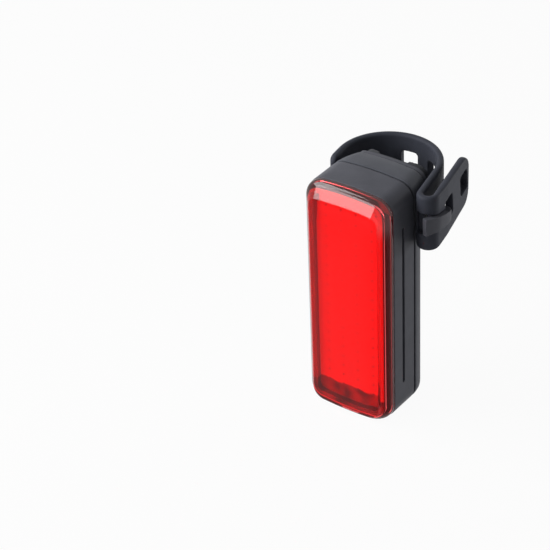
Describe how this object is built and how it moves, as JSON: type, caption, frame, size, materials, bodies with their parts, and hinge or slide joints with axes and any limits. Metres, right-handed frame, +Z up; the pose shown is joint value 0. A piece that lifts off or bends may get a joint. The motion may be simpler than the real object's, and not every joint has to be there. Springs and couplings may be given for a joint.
{
  "type": "bike rear light",
  "caption": "Upright bike rear light: red lens in a dark two-part case, side button and covered charging port, and a slotted rubber strap on a hook that holds it to a seat post.",
  "frame": {"origin": "centre of the flat foot under the front housing", "axes": "+Z up along the light, -Y out of the lens, +X to the side with the strap's hook"},
  "size_m": [0.0362, 0.0381, 0.0695],
  "materials": {
    "lens": "clear red, polished",
    "diffuser": "bright red, satin",
    "board": "green solder mask",
    "led_board": "white coated metal board",
    "chips": "clear yellow resin",
    "shell": "fine grained dark grey",
    "inner_plastic": "black",
    "rubber": "matt blue-black",
    "foam": "black foam",
    "steel": "bright steel",
    "gilt": "gold plated",
    "cell": "silver pouch",
    "wire": "red sleeve"
  },
  "bodies": {
    "light": {"lens": "lens", "light_frame": "inner_plastic", "diffuser": "diffuser", "led_board": "led_board", "led_chips": "chips", "front_housing": "shell", "case_seal": "rubber", "back_cover": "shell", "case_screws": "steel", "main_board": "board", "board_parts": "inner_plastic", "contact_pins": "gilt", "usb_socket": "steel", "usb_tongue": "inner_plastic", "tact_switch": "inner_plastic", "port_tether": "rubber", "battery_cell": "cell", "battery_pad": "foam", "battery_leads": "wire", "strap_bracket": "shell", "bracket_screws": "steel", "saddle_pad": "rubber", "strap_pin": "steel", "strap_root": "rubber"},
    "button": {"power_button": "rubber", "switch_plunger": "inner_plastic"},
    "flap": {"port_cover": "rubber"},
    "strap": {"strap_band": "rubber", "strap_end": "rubber"}
  },
  "joints": [
    {"name": "button_press", "type": "slide", "parent": "light", "child": "button", "axis": [1, 0, 0], "range_m": [0, 0.0005], "stiffness_N_per_m": 900},
    {"name": "port_cover_open", "type": "hinge", "parent": "light", "child": "flap", "pos_m": [-0.01265, 0.00015, 0.02625], "axis": [0, 1, 0], "range_deg": [0, 100], "stiffness_Nm_per_rad": 0.0005},
    {"name": "strap_open", "type": "hinge", "parent": "light", "child": "strap", "pos_m": [-0.0147, 0.01254, 0.0596], "axis": [0, 0, 1], "range_deg": [0, 60], "stiffness_Nm_per_rad": 0.002, "deforming": ["strap_end"]}
  ]
}
